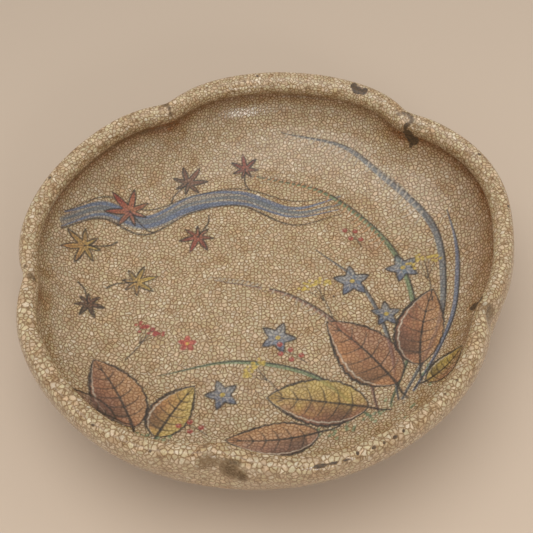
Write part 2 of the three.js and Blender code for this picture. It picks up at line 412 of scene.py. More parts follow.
# Olive-brown places where the glaze lies thick, some of them, as beside the near thumb dent and in the
# rim's outer hollow at the right notch, painted shade of a hollow:
POOLS_AND_SHADE = (
    (-97.2, 115.6, 46.6, 5.2, 6, 0.92),
    (-94.6, 115.9, 46, 3.4, 4.2, 1.02),
    (-96.8, 115.2, 48.8, 4.4, 3.4, 0.9),
    (-96.6, 113.4, 52, 5.2, 2, 0.88),
    (-101.4, 113.8, 49.5, 6.5, 5.5, 0.66),
    (-21.2, 108.8, 48.6, 6.4, 6.8, 0.78),
    (-20.2, 108.3, 51, 3, 3.6, 0.95),
    (-168.6, 110.2, 53.3, 2.6, 2.2, 0.85),
    (-171.3, 112.2, 53.9, 1.5, 1.3, 0.85),
    (-167.9, 109, 52.2, 1.3, 1.2, 1.1),
    (121, 104.2, 53.6, 2.3, 1.3, 1),
    (120.7, 101.4, 52.9, 1.3, 1.9, 1),
    (121, 99, 50.8, 1.3, 2, 0.9),
    (128.8, 106, 40, 5, 2.2, 0.78),
    (50.7, 109.2, 52.9, 1.6, 1.7, 0.8),
    (49.6, 111, 53.4, 2, 1.5, 0.95),
    (48.4, 111.7, 53.6, 2.2, 1.5, 1.05),
    (47.2, 111.4, 53.4, 1.8, 1.6, 1.1),
    (46.4, 109.9, 52.4, 1.5, 1.9, 1.1),
    (46.6, 108.4, 51, 1.4, 1.8, 1.05),
    (43.9, 110.6, 51.8, 4.4, 2.4, 0.5),
)
STAIN_AT = (25.5, 61, 14)
# Bands round the inside: height and half width of the stained fold under the rim, partly painted shade
# under the lip, of the glaze that fills it, also partly painted shade, and of the staining and painted
# shade below the notches
SHADED_FOLD_BAND = (41, 4.4)
FILLED_SHADED_BAND = (39.8, 2.3)
NOTCH_SHADE_BAND = (40, 8)
NOTCH_STAIN_SHADE_REACH = 9


def body_values(points):
    """How much iron, brown staining and thick glaze each point of the body shows, from 0 up, and how far it
    is down the outer wall, where the crackle is finer and hazier. The staining and the thick glaze are
    partly painted shade in the fold under the rim and in hollows, and the outer wall's greyer colour is
    partly painted shade."""
    radius = np.hypot(points[..., 0], points[..., 1])
    around = ANGLE[None, :]
    height = points[..., 2]

    def strongest(marks):
        value = np.zeros(radius.shape)
        for at_angle, at_radius, at_height, *half_sizes, strength in marks:
            step = round(at_angle / 360 * BODY_STEPS) % BODY_STEPS
            ring = np.argmin(np.hypot(radius[:, step] - at_radius, height[:, step] - at_height))
            place = (at_angle, radius[ring, step], height[ring, step])
            hump = near(around, radius, height, place, *half_sizes)
            value = np.maximum(value, strength * np.exp(-np.log(np.maximum(hump, 1e-9)) ** 2))
        return value

    def band(level, half_width):
        share = np.exp(-(((Z - level) / half_width) ** 2))
        return (share * np.isin(STRETCH, (CURL, INSIDE)))[:, None]

    # Painted shade: the fold under the rim is darkened all round, most on the sides round 140° and 14°, and
    # a small brown spot of staining is added
    side = np.maximum(near_turn(around, 140, 40), 0.65 * near_turn(around, 14, 40))
    stain_and_shade = band(*SHADED_FOLD_BAND) * (0.42 + 0.5 * side) + 0.5 * near(around, radius, height, STAIN_AT, 6, 4)
    # Painted shade on the right inner wall, under the right lobe's lip
    right_wall_shade = (STRETCH == INSIDE) * smoothstep(Z, 17, 34) * 0.5
    stain_and_shade = stain_and_shade + right_wall_shade[:, None] * near_turn(around, -2, 36)
    # Below each notch the inner wall is darkened, partly staining and partly painted shade of the notch's
    # fold
    for at in NOTCH_ANGLES:
        along = turned(around - at) * BELLY_RADIUS
        stain_and_shade = stain_and_shade + 0.4 * band(*NOTCH_SHADE_BAND) * np.exp(-((along / NOTCH_STAIN_SHADE_REACH) ** 2))
    # Down the outer wall below the crest: a finer crackle and a greyer, darker colour, partly painted shade
    # of the wall beside the lit top of the rim
    outer = (STRETCH == OUTSIDE) * smoothstep(RIM_HEIGHT - Z, 0.6, 3)
    # The outer wall is also darkened towards the foot
    low = (STRETCH == OUTSIDE) * (1 - smoothstep(Z, FOOT_HEIGHT + 1, FOOT_HEIGHT + 15)) * 0.3
    stain_and_shade = np.clip(stain_and_shade + low[:, None], 0, 1)
    # The glaze filling the fold is darkened, partly as painted shade, most on the sides where the lip
    # shades it
    pool_and_shade = np.maximum(strongest(POOLS_AND_SHADE), band(*FILLED_SHADED_BAND) * (0.34 + 0.28 * side))
    return strongest(IRON), stain_and_shade, pool_and_shade, np.broadcast_to(outer[:, None], radius.shape)


def near_turn(angle, middle, width):
    """A hump of 1 at an angle round the dish, in degrees as its width is."""
    return np.exp(-((turned(angle - math.radians(middle)) / math.radians(width)) ** 2))


def make_body():
    rings, count, _ = BODY.shape
    step = np.arange(count)[:, None]
    low = np.repeat(np.arange(rings - 1), count)[:, None]
    # The ring and the step of each face's corners: the quads, the underside's middle and the floor's.
    # The two poles are rings of their own, before the first and after the last
    corners = (
        (low + [0, 0, 1, 1], np.tile(step, (rings - 1, 1)) + [0, 1, 1, 0]),
        (0 * step + [-1, 0, 0], step + [0.5, 1, 0]),
        (0 * step + [rings - 1, rings - 1, rings], step + [0, 1, 0.5]),
    )
    faces = []
    for ring, turn in corners:
        vertex = ring * count + turn.astype(int) % count
        vertex = np.where(ring < 0, rings * count, np.where(ring == rings, rings * count + 1, vertex))
        faces += vertex.tolist()
    poles = [(0, 0, FOOT_HEIGHT), (0, 0, BODY[-1, :, 2].mean())]
    mesh = new_mesh("glazed_body", np.concatenate([BODY.reshape(-1, 3), poles]), faces)

    inner = np.concatenate([np.repeat(ring.min(1) >= CREASE, ring.shape[1]) for ring, _ in corners])
    ring, turn = (np.concatenate([part.ravel() for part in parts]) for parts in zip(*corners))
    angle = turn * TURN / count

    def on_maps(outer, inside):
        """The map radius of each corner, from the radii of the rings on each of the two maps."""
        outer = np.concatenate([[0], outer, np.zeros(rings - CREASE)])
        inside = np.concatenate([np.zeros(CREASE + 1), inside[::-1], [0]])
        return np.where(inner, inside[ring + 1], outer[ring + 1])

    crackle = crackle_map(on_maps(OUTER_CHART, INNER_CHART), angle, np.where(inner, 0, OUTSIDE_MAP_SHIFT))
    add_uv(mesh, "crackle_mm", crackle)
    outer_reach = OUTER_DISTANCE[-1] * BAKE_SCALE_OUTSIDE
    inner_reach = INNER_DISTANCE[-1] * BAKE_SCALE_INSIDE
    side = (outer_reach + inner_reach) * (1 + math.sqrt(0.5)) * BAKE_MARGIN
    place = on_maps(OUTER_DISTANCE * BAKE_SCALE_OUTSIDE, INNER_DISTANCE * BAKE_SCALE_INSIDE)
    place = place * np.exp(1j * angle)
    middle = np.where(inner, side - inner_reach * BAKE_MARGIN, outer_reach * BAKE_MARGIN)
    add_uv(mesh, "OFBake", np.stack([place.real + middle, place.imag + middle], 1) / side)
    for name, values in zip(("iron", "stain_and_shade", "pool_and_shade", "hazy_and_shaded"), body_values(BODY)):
        add_value(mesh, name, np.concatenate([values.ravel(), [0, 0]]))
    return new_object("glazed_body", mesh)


# The enamel painting: an autumn picture of leaves, grasses and flowers on a flat map of the inside,
# x to the right and y away from the viewer, in mm from the floor's middle along the surface
PAINT_REACH = 124
PITCH = 0.4
ENAMEL_THICKNESS = 0.07
BRUSH_SOFTNESS = 0.55


def srgb(red, green, blue):
    """A colour written as it looks, from 0 to 255, in the linear values that the nodes take."""
    share = np.array([red, green, blue]) / 255
    return np.where(share <= 0.04045, share / 12.92, ((share + 0.055) / 1.055) ** 2.4)


INK = srgb(42, 34, 28)
UMBER = srgb(74, 54, 40)
RUSSET = srgb(142, 86, 62)
ORANGE = srgb(176, 122, 76)
MAUVE = srgb(140, 100, 84)
YELLOW = srgb(196, 168, 78)
RED = srgb(158, 60, 50)
GREEN = srgb(108, 132, 96)
SLATE = srgb(104, 112, 118)
BLUE = srgb(92, 108, 134)
WHITE = srgb(206, 192, 170)


def spline(points, steps):
    """A smooth curve through the points given."""
    p = np.array(points, float)
    p = np.concatenate([[2 * p[0] - p[1]], p, [2 * p[-1] - p[-2]]])
    t = np.linspace(0, 1, steps, endpoint=False)[:, None]
    pieces = []
    for a, b, c, d in zip(p[:-3], p[1:-2], p[2:-1], p[3:]):
        bend = 2 * a - 5 * b + 4 * c - d
        pieces.append(0.5 * (2 * b + (c - a) * t + bend * t**2 + (3 * b - a - 3 * c + d) * t**3))
    return np.concatenate(pieces + [p[-2:-1]])


def grain(rng, shape, size):
    """Soft random patches between -1 and 1, about size cells wide."""
    rows, cols = (int(n / size) + 3 for n in shape)
    coarse = rng.uniform(-1, 1, (rows, cols))
    y, x = (np.arange(n) / size for n in shape)
    iy, ix = y.astype(int), x.astype(int)
    fy, fx = smoothstep(y - iy, 0, 1)[:, None], smoothstep(x - ix, 0, 1)[None, :]
    near_row = coarse[iy][:, ix] * (1 - fx) + coarse[iy][:, ix + 1] * fx
    far_row = coarse[iy + 1][:, ix] * (1 - fx) + coarse[iy + 1][:, ix + 1] * fx
    return near_row * (1 - fy) + far_row * fy


class Painting:
    """Enamel colours, and how far they cover, on a square grid of points PITCH apart."""

    def __init__(self):
        self.rng = np.random.default_rng(11)
        self.axis = np.arange(-PAINT_REACH, PAINT_REACH + PITCH / 2, PITCH)
        shape = (len(self.axis), len(self.axis))
        self.color = np.zeros((*shape, 3))
        self.cover = np.zeros(shape)
        self.patches = 0.6 * grain(self.rng, shape, 14) + 0.4 * grain(self.rng, shape, 5)
        self.flecks = grain(self.rng, shape, 2.2)

    def window(self, points, margin):
        low, high = points.min(0) - margin, points.max(0) + margin
        cols = slice(*np.searchsorted(self.axis, (low[0], high[0])))
        rows = slice(*np.searchsorted(self.axis, (low[1], high[1])))
        x, y = np.meshgrid(self.axis[cols], self.axis[rows])
        return (rows, cols), x, y

    def lay(self, window, share, color):
        """Lays a colour over what is there already."""
        share = share[..., None]
        before = self.cover[window][..., None] * (1 - share)
        cover = share + before
        self.color[window] = (color * share + self.color[window] * before) / np.maximum(cover, 1e-6)
        self.cover[window] = cover[..., 0]

    def stroke(self, points, widths, color, strength=0.95, steps=8):
        """A brush line through the points, whose width follows the widths given."""
        line = spline(points, steps) if steps else np.array(points)
        width = np.interp(np.linspace(0, 1, len(line)), np.linspace(0, 1, len(widths)), widths)
        window, x, y = self.window(line, max(widths) + BRUSH_SOFTNESS)
        reach = np.full(x.shape, 1e3)
        for (ax, ay), (bx, by), wa, wb in zip(line[:-1], line[1:], width[:-1], width[1:]):
            long = max((bx - ax) ** 2 + (by - ay) ** 2, 1e-9)
            t = np.clip(((x - ax) * (bx - ax) + (y - ay) * (by - ay)) / long, 0, 1)
            off = np.hypot(x - ax - t * (bx - ax), y - ay - t * (by - ay)) - (wa + t * (wb - wa)) / 2
            reach = np.minimum(reach, off)
        dry = 1 - 0.25 * np.maximum(self.flecks[window], 0)
        self.lay(window, strength * dry * np.clip(0.5 - reach / BRUSH_SOFTNESS, 0, 1), color)

    def wash(self, outline, near_color, far_color, start, end, strength, thin=0.0):
        """Fills an outline with a wash that turns from one colour into another between two
        points, and thins out towards the far one."""
        window, x, y = self.window(outline, 1)
        inside = np.zeros(x.shape, bool)
        for (ax, ay), (bx, by) in zip(outline, np.roll(outline, -1, 0)):
            crosses = (ay > y) != (by > y)
            inside ^= crosses & (x < ax + (y - ay) * (bx - ax) / (by - ay if by != ay else 1))
        reach = np.array(end, float) - start
        share = ((x - start[0]) * reach[0] + (y - start[1]) * reach[1]) / (reach @ reach)
        share = smoothstep(share + 0.22 * self.patches[window], 0, 1)
        color = near_color + (far_color - near_color) * share[..., None]
        color = color * (1 + 0.14 * self.patches[window] + 0.07 * self.flecks[window])[..., None]
        cover = strength * (1 - thin * share) * (1 + 0.12 * self.patches[window])
        soft = inside.astype(float)
        soft[1:-1, 1:-1] = (
            4 * soft[1:-1, 1:-1] + soft[:-2, 1:-1] + soft[2:, 1:-1] + soft[1:-1, :-2] + soft[1:-1, 2:]
        ) / 8
        self.lay(window, np.clip(cover, 0, 1) * soft, color)


def heading(angle):
    return np.array([math.cos(math.radians(angle)), math.sin(math.radians(angle))])


def closed(outline):
    return np.concatenate([outline, outline[:1]])


def broad_leaf(paint, base, towards, length, width, bend, near_color, far_color):
    """A large leaf with a toothed edge: a wash, an ink outline with a white line inside it, a
    midrib and veins."""
    share = np.linspace(0, 1, 45)
    way = np.radians(towards + bend * (share - 0.4))
    rib = np.cumsum(np.stack([np.cos(way), np.sin(way)], 1) * length / len(share), 0) + base
    across = np.stack([-np.sin(way), np.cos(way)], 1)
    teeth = 1 - 0.07 * ((share * 9) % 1)
    half = (width / 2 * np.sin(math.pi * share**0.8) ** 0.8 * teeth)[:, None]
    left, right = rib + across * half * 1.08, rib - across * half * 0.92
    outline = np.concatenate([left, right[::-1]])
    paint.wash(outline, near_color, far_color, left[22], right[24], 0.93, 0.35)
    paint.wash(np.concatenate([rib[6:30], left[30:6:-1]]), UMBER, near_color, left[12], rib[28], 0.6, 0.8)
    for inset, color, widths in ((0.85, WHITE, (0.3, 0.8, 0.3)), (1.0, INK, (0.7, 1.7, 1.1, 1.8, 0.6))):
        paint.stroke(rib + (left - rib) * inset, widths, color, 0.85 if inset < 1 else 0.97, 0)
    paint.stroke(right, (0.8, 1.2, 0.8, 1.4, 0.5), INK, 0.95, 0)
    paint.stroke(rib, (1.5, 1.1, 0.4), INK, 0.92, 0)
    for at in range(7, 38, 6):
        for side, edge in ((left, 0.8), (right, 0.75)):
            tip = min(at + 5, 44)
            middle = rib[at] * 0.45 + side[tip] * 0.55 - heading(towards) * 0.8
            vein = [rib[at], middle, rib[at] + (side[tip] - rib[at]) * edge]
            paint.stroke(vein, (0.9, 0.6, 0.3), INK, 0.75, 5)
    stem = base - heading(towards - bend * 0.5) * length * 0.22
    paint.stroke([stem, (stem + base) / 2 + across[0] * 0.6, base], (0.9, 1.2, 1.5), INK, 0.95)


def rosette(center, radius, turn, petals, waist, pointed, lean=0.0):
    """The outline of a flower or a lobed leaf: pointed tips where pointed is true, round where
    not. lean makes the tips at the top longer than those at the foot."""
    angle = np.linspace(0, TURN, 18 * petals, endpoint=False)
    if pointed:
        lobe = (1 - np.abs(np.sin(petals / 2 * angle))) ** 0.9
    else:
        lobe = np.abs(np.cos(petals / 2 * angle)) ** 0.6
    reach = radius * (waist + (1 - waist) * lobe) * (1 - lean + lean * np.cos(angle))
    angle = angle + math.radians(turn)
    return np.stack([center[0] + reach * np.cos(angle), center[1] + reach * np.sin(angle)], 1)


def bellflower(paint, center, radius, turn):
    outline = rosette(center, radius, turn, 5, 0.5, True)
    low = np.array(center) - (0, radius)
    paint.wash(outline, BLUE, SLATE * 1.5, low, low + (0, 2 * radius), 0.9, 0.25)
    paint.stroke(closed(outline), (0.7, 1.1, 0.6, 1.2, 0.7, 1.1, 0.7), INK, 0.93, 0)
    for petal in range(5):
        tip = heading(turn + 72 * petal)
        paint.stroke([center + tip * 1.2, center + tip * radius * 0.8], (0.5, 0.3), INK, 0.7)
        for spread in (-17, 17):
            side = heading(turn + 72 * petal + spread)
            line = [center + tip * radius * 0.25, center + side * radius * 0.6]
            paint.stroke(line, (0.3, 0.3), WHITE, 0.6)
    paint.stroke([center, np.array(center) + (0.3, 0.2)], (2.2, 2.2), YELLOW, 0.95)


def maple_leaf(paint, center, radius, turn, near_color, far_color):
    outline = rosette(center, radius, turn, 7, 0.3, True, 0.2)
    tip, foot = center + heading(turn) * radius, center - heading(turn) * radius
    paint.wash(outline, near_color, far_color, tip, foot, 0.92, 0.2)
    paint.stroke(closed(outline), (0.6, 1.1, 0.7, 1.2, 0.6, 1.1, 0.7), INK, 0.93, 0)
    for lobe in range(-2, 3):
        way = heading(turn + lobe * 360 / 7)
        paint.stroke([center, center + way * radius * 0.75], (0.5, 0.25), INK, 0.7)
    side = heading(turn + 90) * 1.5
    stalk = [center, center - heading(turn) * radius * 0.9 + side, foot - heading(turn) * 4]
    paint.stroke(stalk, (0.8, 1.0), INK, 0.93)


def blade(paint, points, width, color):
    """A grass blade: a tapered stroke with an ink line along one side."""
    paint.stroke(points, (width * 0.5, width, width * 0.8, 0.3), color, 0.85, 10)
    edge = np.array(points, float)
    edge[1:-1] += (width * 0.42, width * 0.2)
    paint.stroke(edge, (0.6, 1.1, 0.8, 0.4), INK, 0.92, 10)


def plume(paint, points, length, color):
    """A feathery seed head hanging along one side of a stem."""
    line = spline(points, 10)
    paint.stroke(points, (0.5, 0.4, 0.3), INK, 0.85)
    for at in np.linspace(0.1, 1, 26):
        root = line[int(at * (len(line) - 1))]
        fall = heading(paint.rng.uniform(215, 255)) * length * (1.15 - 0.6 * at)
        tip = root + fall + (0, 1.2)
        paint.stroke([root, root + fall * 0.55, tip], (0.9, 0.7, 0.25), color, 0.8, 4)


def small_flowers(paint, base, reach, color, turn):
    """A forked stem with flat heads of tiny flowers."""
    tip = base + heading(turn) * reach
    paint.stroke([base, (base + tip) / 2 + (0.8, 0), tip], (0.7, 0.5), INK, 0.85)
    for fork in (-34, -12, 14, 36):
        end = base + heading(turn) * reach * 0.62 + heading(turn + fork) * reach * 0.42
        paint.stroke([base + heading(turn) * reach * 0.55, end], (0.45, 0.4), INK, 0.8)
        for _ in range(7):
            spot = end + paint.rng.normal(0, 1.25, 2)
            paint.stroke([spot, spot + (0.3, 0.15)], (1.5, 1.3), color, 0.95, 2)
            if paint.rng.random() < 0.5:
                paint.stroke([spot - (0.5, 0.4), spot - (0.2, 0.4)], (0.4, 0.4), INK, 0.8, 2)


def moss(paint, center, spread):
    """Loose dabs of green with a few ink ticks, at the foot of the stems."""
    for _ in range(int(spread * 2)):
        spot = center + paint.rng.normal(0, 1, 2) * (spread, spread * 0.45)
        paint.stroke([spot, spot + (0.6, 1.1)], (1.8, 1.0), GREEN, 0.7, 2)
    for _ in range(int(spread)):
        spot = center + paint.rng.normal(0, 1, 2) * (spread, spread * 0.4)
        paint.stroke([spot, spot + (0.3, 1.8)], (0.6, 0.35), INK, 0.8, 2)


def berries(paint, base, turn, count):
    stem = base + heading(turn) * count * 3
    paint.stroke([base, (base + stem) / 2 + (0, 0.9), stem], (0.6, 0.35), INK, 0.85)
    for place in range(count):
        root = base + (stem - base) * (place + 1) / count
        spot = root + heading(turn + (60 if place % 2 else -60)) * 2.6
        paint.stroke([root, spot], (0.35, 0.35), INK, 0.8, 2)
        paint.stroke([spot, spot + (0.15, 0.1)], (2.7, 2.6), RED, 0.95, 2)
        paint.stroke([spot + (-0.3, 0.5), spot + (-0.1, 0.6)], (0.5, 0.5), WHITE, 0.7, 2)


def blossom(paint, center, radius, turn):
    outline = rosette(center, radius, turn, 5, 0.3, False)
    low = np.array(center) - (0, radius)
    paint.wash(outline, RED, RED * 1.35, low, low + (0, 2 * radius), 0.9)
    paint.stroke([center, np.array(center) + (0.2, 0.2)], (1.6, 1.6), YELLOW, 0.9, 2)


def stream(paint):
    """A band of flowing water, as a pale wash with lines of uneven width."""
    course = np.array([(-108, 30), (-88, 44), (-64, 40), (-40, 54), (-14, 58), (14, 48), (40, 54)], float)
    paint.stroke(course, (4, 11, 9, 12, 8, 4, 0.5), SLATE * 1.25, 0.55, 10)
    for offset, widths, color in (
        (4.4, (1, 2.8, 1, 3, 0.6), BLUE),
        (0.8, (1, 3.4, 1.6, 2.8, 0.6), SLATE),
        (-2.8, (0.8, 2.2, 3.8, 1.6, 0.5), BLUE),
        (-6.2, (0.8, 1.3, 0.9, 1.3, 0.4), INK),
        (7.2, (0.5, 1.1, 0.6, 0.9, 0.3), INK),
    ):
        line = course + np.stack([np.zeros(7), offset * (1 + 0.25 * np.sin(course[:, 0] / 13 + offset))], 1)
        paint.stroke(line, widths, color, 0.85, 10)


# The picture's motifs, in the order in which they are painted
PICTURE = (
    (blade, [(66, -70), (88, -20), (84, 34), (48, 84), (8, 100)], 3.2, SLATE),
    (blade, [(60, -72), (74, -24), (66, 22), (34, 60), (-8, 74)], 2.6, GREEN),
    (blade, [(72, -66), (92, -30), (97, 8), (91, 42)], 2.8, BLUE),
    (blade, [(54, -76), (44, -34), (14, -6), (-26, 4)], 2.4, MAUVE),
    (blade, [(50, -78), (24, -52), (-14, -44), (-50, -52)], 2.6, GREEN),
    (blade, [(64, -70), (60, -30), (48, 2), (26, 24)], 2, SLATE),
    (plume, [(84, 34), (68, 66), (42, 88), (12, 100)], 9, WHITE * 0.8),
    (plume, [(66, 22), (50, 46), (26, 66), (-6, 74)], 8, ORANGE),
    (plume, [(44, -34), (24, -12), (-4, 2), (-28, 6)], 6, WHITE * 0.75),
    (moss, (58, -76), 9),
    (moss, (84, -54), 7),
    (moss, (30, -84), 7),
    (broad_leaf, (64, -60), 128, 52, 30, 26, ORANGE, RUSSET),
    (broad_leaf, (76, -50), 82, 48, 27, -22, RUSSET, ORANGE),
    (broad_leaf, (50, -72), 168, 50, 28, 20, RUSSET, YELLOW),
    (broad_leaf, (26, -84), 186, 44, 22, -18, MAUVE, ORANGE),
    (broad_leaf, (78, -62), 26, 27, 16, 16, YELLOW, RUSSET),
    (broad_leaf, (-58, -84), 118, 44, 25, 24, RUSSET, ORANGE),
    (broad_leaf, (-48, -88), 66, 34, 19, -20, ORANGE, YELLOW),
    (broad_leaf, (-66, -80), 160, 30, 16, -14, UMBER, MAUVE),
    (moss, (-50, -90), 6),
    (bellflower, (44, 4), 9.5, 96),
    (bellflower, (70, 12), 8.5, 40),
    (bellflower, (6, -30), 9, 70),
    (bellflower, (60, -16), 7.5, 20),
    (bellflower, (-20, -62), 8, 110),
    (small_flowers, (84, -10), 26, YELLOW, 98),
    (small_flowers, (34, -20), 24, YELLOW, 112),
    (small_flowers, (8, -62), 20, YELLOW, 132),
    (small_flowers, (-66, -44), 20, RED, 62),
    (berries, (20, -44), 150, 5),
    (berries, (50, 26), 118, 4),
    (berries, (-26, -84), 150, 4),
    (maple_leaf, (-74, 46), 15, 140, RED, ORANGE),
    (maple_leaf, (-44, 68), 12, 60, RUSSET, UMBER),
    (maple_leaf, (-94, 20), 13, 200, ORANGE, YELLOW),
    (maple_leaf, (-36, 32), 11, 250, RED, RUSSET),
    (maple_leaf, (-66, 2), 11, 20, YELLOW, ORANGE),
    (maple_leaf, (-12, 78), 9.5, 100, RED, RUSSET),
    (maple_leaf, (-88, -14), 9, 300, UMBER, RUSSET),
    (blossom, (-38, -34), 4.6, 90),
)


def autumn_picture():
    paint = Painting()
    stream(paint)
    for draw, *settings in PICTURE:
        draw(paint, *settings)
    return paint


def surface_at(distance, angle):
    """Points and normals of the body's inside, at distances from the floor's middle."""
    count = BODY.shape[1]
    ring = np.interp(distance, INNER_DISTANCE, np.arange(len(BODY) - 1, CREASE - 1, -1))
    low = np.minimum(ring.astype(int), len(BODY) - 2)
    step = angle / TURN * count % count
    left = step.astype(int) % count
    right = (left + 1) % count
    up, over = (ring - low)[:, None], (step - np.floor(step))[:, None]

    def blend(grid):
        near_side = grid[low, left] * (1 - over) + grid[low, right] * over
        far_side = grid[low + 1, left] * (1 - over) + grid[low + 1, right] * over
        return near_side * (1 - up) + far_side * up

    return blend(BODY), blend(grid_normals(BODY))


def make_painting():
    paint = autumn_picture()
    count = len(paint.axis)
    x, y = np.meshgrid(paint.axis, paint.axis)
    distance, angle = np.hypot(x, y), np.arctan2(y, x)
    cover = paint.cover * smoothstep(-distance, -INNER_DISTANCE[-1] + 2, -INNER_DISTANCE[-1] + 6)
    cover = cover * (distance > 2)
    full = np.maximum.reduce([cover[:-1, :-1], cover[:-1, 1:], cover[1:, :-1], cover[1:, 1:]]) > 0.01
    row, col = np.nonzero(full)
    low = row * count + col
    faces = np.stack([low, low + 1, low + count + 1, low + count], 1)
    used, faces = np.unique(faces, return_inverse=True)
    faces = faces.reshape(-1, 4)
    distance, angle = distance.ravel()[used], angle.ravel()[used]
    points, normals = surface_at(distance, angle % TURN)
    points = points + normals * ENAMEL_THICKNESS
    mesh = new_mesh("enamel_painting", points, faces.tolist())
    corner = faces.ravel()
    crackle = crackle_map(np.interp(distance, INNER_DISTANCE, INNER_CHART), angle, 0)
    add_uv(mesh, "crackle_mm", crackle[corner])
    bake = np.stack([x.ravel()[used], y.ravel()[used]], 1) / (2 * PAINT_REACH + 2) + 0.5
    add_uv(mesh, "OFBake", bake[corner])
    add_value(mesh, "cover", cover.ravel()[used])
    color = mesh.color_attributes.new("paint", "FLOAT_COLOR", "POINT")
    values = np.concatenate([paint.color.reshape(-1, 3)[used], np.ones((len(used), 1))], 1)
    color.data.foreach_set("color", np.clip(values, 0, 1).astype(np.float32).ravel())
    return new_object("enamel_painting", mesh)


FOOT_STEPS = 360
TURNING_DEPTH = 0.05
TURNING_PITCH = TURN / 9
FOOT_WAVES, FOOT_WAVE_DEPTH = 5, 0.03


def make_foot():
    """The foot ring, turned in the bare clay, with soft edges and faint turning lines."""
    inner = FOOT_RADIUS - FOOT_WIDTH - FOOT_TAPER / 2
    outer = FOOT_RADIUS - FOOT_TAPER
    outline = [
        (inner, FOOT_HEIGHT),
        (inner + 0.5, 2.6),
        (inner + 1.1, 0.5),
        (inner + 2.2, 0.05),
        (outer - 1.6, 0.05),
        (outer - 0.5, 0.5),
        (outer + 0.2, 2.4),
        (FOOT_RADIUS, FOOT_HEIGHT),
    ]
    profile = spline(outline, 8)
    profile[:, 1] = np.clip(profile[:, 1], 0, FOOT_HEIGHT)
    profile[:, 0] = np.clip(profile[:, 0], inner, FOOT_RADIUS)
    flat, z = profile[:, :1], profile[:, 1:]
    angle = np.arange(FOOT_STEPS) * TURN / FOOT_STEPS
    lines = TURNING_DEPTH * np.sin(z * TURN / TURNING_PITCH) * smoothstep(z, 0.4, 1.5)
    waves = FOOT_WAVE_DEPTH * (1 + np.sin(FOOT_WAVES * angle + 1))
    radius = np.maximum(flat - np.abs(lines) - waves, inner)
    height = np.broadcast_to(z, radius.shape)
    points = np.stack([radius * np.cos(angle), radius * np.sin(angle), height], 2)
    step = np.arange(FOOT_STEPS)
    after = (step + 1) % FOOT_STEPS
    low = (np.arange(len(profile)) * FOOT_STEPS)[:, None]
    high = np.roll(low, -1, 0)
    faces = np.stack([low + step, low + after, high + after, high + step], 2).reshape(-1, 4)
    return new_object("turned_foot", new_mesh("turned_foot", points.reshape(-1, 3), faces.tolist()))


# Materials
def fill(made, inputs):
    """Sets a node's inputs by name: to a number, to a colour's array of three, or by a link."""
    for name, value in inputs.items():
        if isinstance(value, bpy.types.NodeSocket):
            made.id_data.links.new(value, made.inputs[name])
        else:
            made.inputs[name].default_value = (*value, 1) if isinstance(value, np.ndarray) else value


def add_node(kind, inputs, tree=None, **settings):
    """Adds a node, with inputs as fill takes them and settings of its own, to the tree given or to
    that of the sockets it takes, and gives its outputs."""
    sockets = [value for value in inputs.values() if isinstance(value, bpy.types.NodeSocket)]
    made = (tree or sockets[0].id_data).nodes.new("ShaderNode" + kind)
    for name, value in settings.items():
        setattr(made, name, value)
    fill(made, inputs)
    return made.outputs


def sums(operation, first, second):
    return add_node("Math", {0: first, 1: second}, operation=operation)[0]


def plus(first, second):
    return sums("ADD", first, second)


def times(first, second):
    return sums("MULTIPLY", first, second)


def eased(value, low, high, start=0.0, end=1.0):
    """The value eased from start to end while it runs from low to high."""
    inputs = {"Value": value, "From Min": low, "From Max": high, "To Min": start, "To Max": end}
    return add_node("MapRange", inputs, interpolation_type="SMOOTHSTEP")[0]


def blended(share, first, second):
    """A number that turns from first into second as the share goes from 0 to 1."""
    return add_node("MapRange", {"Value": share, "To Min": first, "To Max": second})[0]


def mixed(share, first, second, blend="MIX"):
    inputs = {0: share, 6: first, 7: second}
    return add_node("Mix", inputs, data_type="RGBA", blend_type=blend)[2]


def multiplied(first, second):
    """Two colours multiplied."""
    return mixed(1.0, first, second, "MULTIPLY")


def grey_of(value):
    return add_node("CombineColor", {0: value, 1: value, 2: value})[0]


def noise(vector, scale, detail=2.0, output=0):
    return add_node("TexNoise", {"Vector": vector, "Scale": scale, "Detail": detail})[output]


def attribute(tree, name, output="Fac"):
    return add_node("Attribute", {}, tree, attribute_name=name)[output]


def object_place(tree):
    return add_node("TexCoord", {}, tree)["Object"]


def bump(strength, depth, height):
    inputs = {"Strength": strength, "Distance": depth * MM, "Height": height}
    return add_node("Bump", inputs)[0]


def new_material(name):
    material = bpy.data.materials.new(name)
    material.use_nodes = True
    return material, material.node_tree, material.node_tree.nodes["Principled BSDF"]


PALE_GLAZE = srgb(214, 194, 160)
PINK_GLAZE = srgb(214, 180, 150)
GREEN_GLAZE = srgb(190, 180, 138)
WHITE_GLAZE = srgb(232, 220, 198)
CELL_EDGE = srgb(156, 126, 88)
CRACK = srgb(88, 66, 42)
WORN_GLAZE = srgb(224, 202, 168)
HAZE_AND_SHADE = srgb(176, 158, 138)
STAINED_AND_SHADED = srgb(190, 136, 96)
THICK_GLAZE_AND_SHADE = srgb(112, 88, 58)
THICK_EDGE_AND_SHADE = srgb(82, 60, 32)
IRON_BROWN = srgb(66, 52, 36)
IRON_EDGE = srgb(108, 82, 54)
CLAY = srgb(160, 122, 88)
DARK_CLAY = srgb(126, 92, 64)
TABLE = srgb(199, 181, 162)
# Sizes of the cells and of the finer ones between their cracks, in mm
CELL = 1.95
FINE_CELL = 1.0
# The solid cells of the rim and the outside: their size against the flat ones, how much steeper
# their edges are, and the share by which they are finer for each metre towards the far side, +Y
OUTSIDE_GROWTH = 0.98
OUTSIDE_SHARPNESS = 1.36
FINER_AWAY = 0.8
